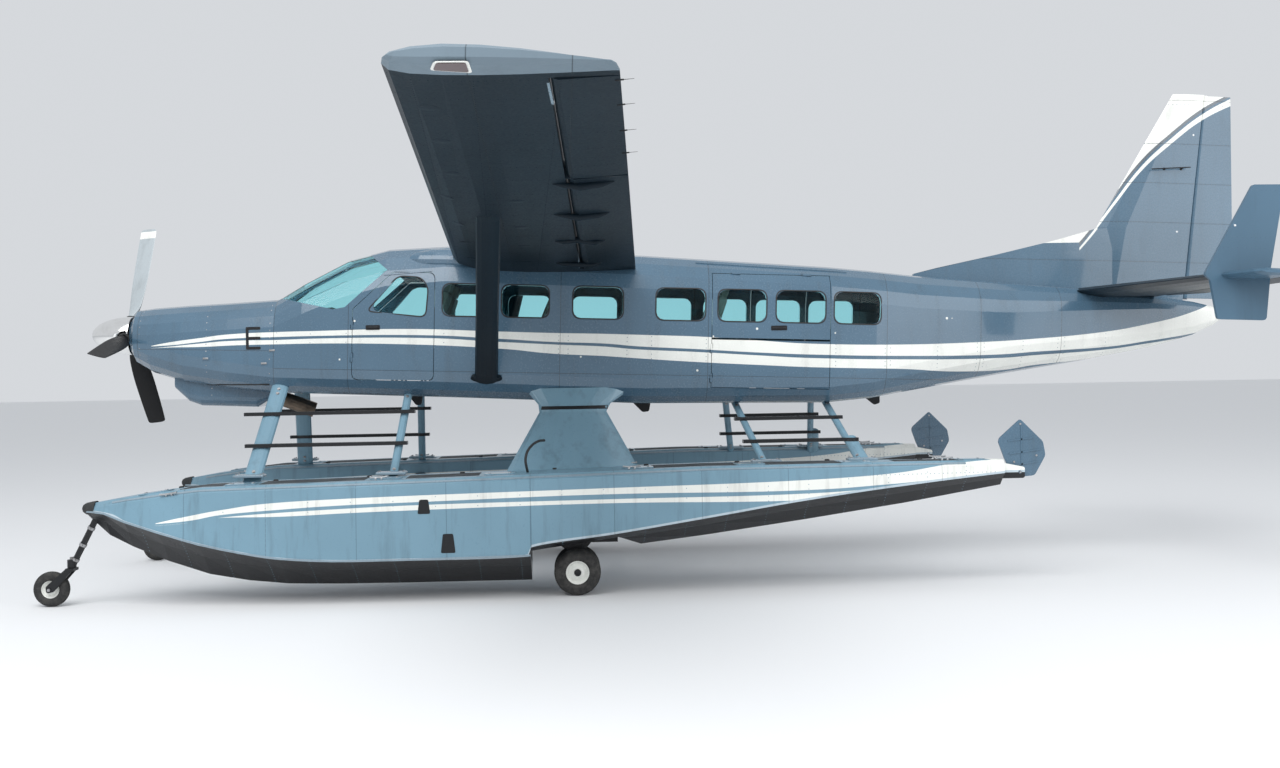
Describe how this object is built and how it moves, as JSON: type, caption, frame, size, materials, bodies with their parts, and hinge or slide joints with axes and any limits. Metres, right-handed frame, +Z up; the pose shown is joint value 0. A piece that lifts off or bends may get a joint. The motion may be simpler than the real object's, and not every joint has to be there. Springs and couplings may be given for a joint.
{
  "type": "floatplane",
  "caption": "Single-turboprop high-wing monoplane parked on amphibious floats, with opening doors, moving flight controls, a turning propeller and castering nose wheels.",
  "frame": {"origin": "on the ground, under the middle of the aircraft's overall length, on its plane of symmetry", "axes": "+X towards the tail, +Y towards the starboard wing tip, +Z up"},
  "size_m": [12.8174, 15.88, 5.2402],
  "materials": {
    "slate_paint": "glossy slate paint over aluminium",
    "float_paint": "light blue-grey paint over aluminium",
    "wing_paint": "dark paint over aluminium",
    "black_steel": "black paint over steel",
    "tyre_rubber": "matt",
    "polished_spinner": "polished",
    "blade_paint": "satin grey",
    "cabin_glass": "clear, faintly green",
    "seat_leather": "grained",
    "panel_plastic": "matt black",
    "engine_metal": "bare metal"
  },
  "bodies": {
    "airframe": {"engine_cowl": "slate_paint", "engine_block": "engine_metal", "fuselage": "slate_paint", "windshield_left": "cabin_glass", "windshield_right": "cabin_glass", "cabin_glass_left": "cabin_glass", "cabin_glass_right": "cabin_glass", "rear_glass_left": "cabin_glass", "rear_glass_right": "cabin_glass", "cabin_seats": "seat_leather", "instrument_panel": "panel_plastic", "wing": "wing_paint", "wing_strut_left": "wing_paint", "wing_strut_right": "wing_paint", "vertical_fin": "slate_paint", "stabilizer": "wing_paint", "float_left": "float_paint", "float_right": "float_paint", "front_struts_left": "float_paint", "rear_struts_left": "black_steel", "pylon_left": "float_paint", "front_struts_right": "float_paint", "rear_struts_right": "black_steel", "pylon_right": "float_paint", "spreader_front": "black_steel", "spreader_rear": "black_steel", "main_leg_left": "black_steel", "nose_leg_left": "black_steel", "main_leg_right": "black_steel", "nose_leg_right": "black_steel"},
    "crew_door_left": {"crew_door_left": "slate_paint", "crew_glass_left": "cabin_glass"},
    "crew_door_right": {"crew_door_right": "slate_paint", "crew_glass_right": "cabin_glass"},
    "cargo_door_upper": {"cargo_door_upper": "slate_paint", "cargo_glass": "cabin_glass"},
    "cargo_door_lower": {"cargo_door_lower": "slate_paint"},
    "airstair_upper": {"airstair_upper": "slate_paint", "airstair_glass": "cabin_glass"},
    "airstair_lower": {"airstair_lower": "slate_paint"},
    "flap_left": {"flap_left": "wing_paint"},
    "flap_right": {"flap_right": "wing_paint"},
    "aileron_left": {"aileron_left": "wing_paint"},
    "aileron_right": {"aileron_right": "wing_paint"},
    "elevator": {"elevator_left": "wing_paint", "elevator_right": "wing_paint"},
    "rudder": {"rudder": "slate_paint"},
    "propeller": {"spinner": "polished_spinner", "propeller_blades": "blade_paint"},
    "main_wheels_left": {"main_wheels_left": "tyre_rubber"},
    "main_wheels_right": {"main_wheels_right": "tyre_rubber"},
    "nose_fork_left": {"nose_fork_left": "black_steel"},
    "nose_fork_right": {"nose_fork_right": "black_steel"},
    "nose_wheel_left": {"nose_wheel_left": "tyre_rubber"},
    "nose_wheel_right": {"nose_wheel_right": "tyre_rubber"},
    "water_rudder_left": {"water_rudder_left": "slate_paint"},
    "water_rudder_right": {"water_rudder_right": "slate_paint"}
  },
  "joints": [
    {"name": "crew_door_left_hinge", "type": "hinge", "parent": "airframe", "child": "crew_door_left", "pos_m": [-3.46862, -0.78786, 2.54998], "axis": [-0.0344, 0, -0.9994], "range_deg": [0, 80]},
    {"name": "crew_door_right_hinge", "type": "hinge", "parent": "airframe", "child": "crew_door_right", "pos_m": [-3.46862, 0.78786, 2.54998], "axis": [0.0344, 0, 0.9994], "range_deg": [0, 80]},
    {"name": "cargo_door_upper_hinge", "type": "hinge", "parent": "airframe", "child": "cargo_door_upper", "pos_m": [0.9686, -0.73119, 3.19282], "axis": [-0.9986, -0.0414, 0.0343], "range_deg": [0, 85]},
    {"name": "cargo_door_lower_hinge", "type": "hinge", "parent": "airframe", "child": "cargo_door_lower", "pos_m": [0.29847, -0.82285, 2.2553], "axis": [-0.0344, 0, -0.9994], "range_deg": [0, 110]},
    {"name": "airstair_upper_hinge", "type": "hinge", "parent": "airframe", "child": "airstair_upper", "pos_m": [1.28591, 0.71886, 3.18191], "axis": [0.9984, -0.0441, -0.0343], "range_deg": [0, 85]},
    {"name": "airstair_lower_hinge", "type": "hinge", "parent": "airframe", "child": "airstair_lower", "pos_m": [1.24397, 0.78394, 1.96263], "axis": [-0.9992, 0.0221, 0.0344], "range_deg": [0, 100]},
    {"name": "flap_left_hinge", "type": "hinge", "parent": "airframe", "child": "flap_left", "pos_m": [-1.06236, -3.09, 3.47497], "axis": [0.0436, 0.9968, -0.0669], "range_deg": [0, 30]},
    {"name": "flap_right_hinge", "type": "hinge", "parent": "airframe", "child": "flap_right", "pos_m": [-1.06236, 3.09, 3.47497], "axis": [-0.0436, 0.9968, 0.0669], "range_deg": [0, 30]},
    {"name": "aileron_left_hinge", "type": "hinge", "parent": "airframe", "child": "aileron_left", "pos_m": [-1.20889, -6.46, 3.69693], "axis": [0.0428, 0.9971, -0.0635], "range_deg": [-20, 20]},
    {"name": "aileron_right_hinge", "type": "hinge", "parent": "airframe", "child": "aileron_right", "pos_m": [-1.20889, 6.46, 3.69693], "axis": [-0.0428, 0.9971, 0.0635], "range_deg": [-20, 20]},
    {"name": "elevator_hinge", "type": "hinge", "parent": "airframe", "child": "elevator", "pos_m": [5.48102, 0, 2.96757], "axis": [0, 1, 0], "range_deg": [-25, 20]},
    {"name": "rudder_hinge", "type": "hinge", "parent": "airframe", "child": "rudder", "pos_m": [5.83926, 0, 2.91022], "axis": [0.1205, 0, 0.9927], "range_deg": [-25, 25]},
    {"name": "propeller_spin", "type": "hinge", "parent": "airframe", "child": "propeller", "pos_m": [-5.99592, 0, 2.67193], "axis": [0.9994, 0, -0.0344], "continuous": true},
    {"name": "main_wheels_left_spin", "type": "hinge", "parent": "airframe", "child": "main_wheels_left", "pos_m": [-1.161, -1.7, 0.228], "axis": [0, 1, 0], "continuous": true},
    {"name": "nose_fork_left_swivel", "type": "hinge", "parent": "airframe", "child": "nose_fork_left", "pos_m": [-6.046, -1.7, 0.37], "axis": [0, 0, 1], "continuous": true},
    {"name": "nose_wheel_left_spin", "type": "hinge", "parent": "nose_fork_left", "child": "nose_wheel_left", "pos_m": [-6.239, -1.7, 0.17], "axis": [0, 1, 0], "continuous": true},
    {"name": "water_rudder_left_hinge", "type": "hinge", "parent": "airframe", "child": "water_rudder_left", "pos_m": [3.282, -1.7, 1.1], "axis": [0, 1, 0], "range_deg": [0, 150]},
    {"name": "main_wheels_right_spin", "type": "hinge", "parent": "airframe", "child": "main_wheels_right", "pos_m": [-1.161, 1.7, 0.228], "axis": [0, 1, 0], "continuous": true},
    {"name": "nose_fork_right_swivel", "type": "hinge", "parent": "airframe", "child": "nose_fork_right", "pos_m": [-6.046, 1.7, 0.37], "axis": [0, 0, 1], "continuous": true},
    {"name": "nose_wheel_right_spin", "type": "hinge", "parent": "nose_fork_right", "child": "nose_wheel_right", "pos_m": [-6.239, 1.7, 0.17], "axis": [0, 1, 0], "continuous": true},
    {"name": "water_rudder_right_hinge", "type": "hinge", "parent": "airframe", "child": "water_rudder_right", "pos_m": [3.282, 1.7, 1.1], "axis": [0, 1, 0], "range_deg": [0, 150]}
  ],
  "couplings": [
    {"joint": "flap_right_hinge", "follows": "flap_left_hinge", "ratio": 1},
    {"joint": "aileron_right_hinge", "follows": "aileron_left_hinge", "ratio": -1}
  ]
}
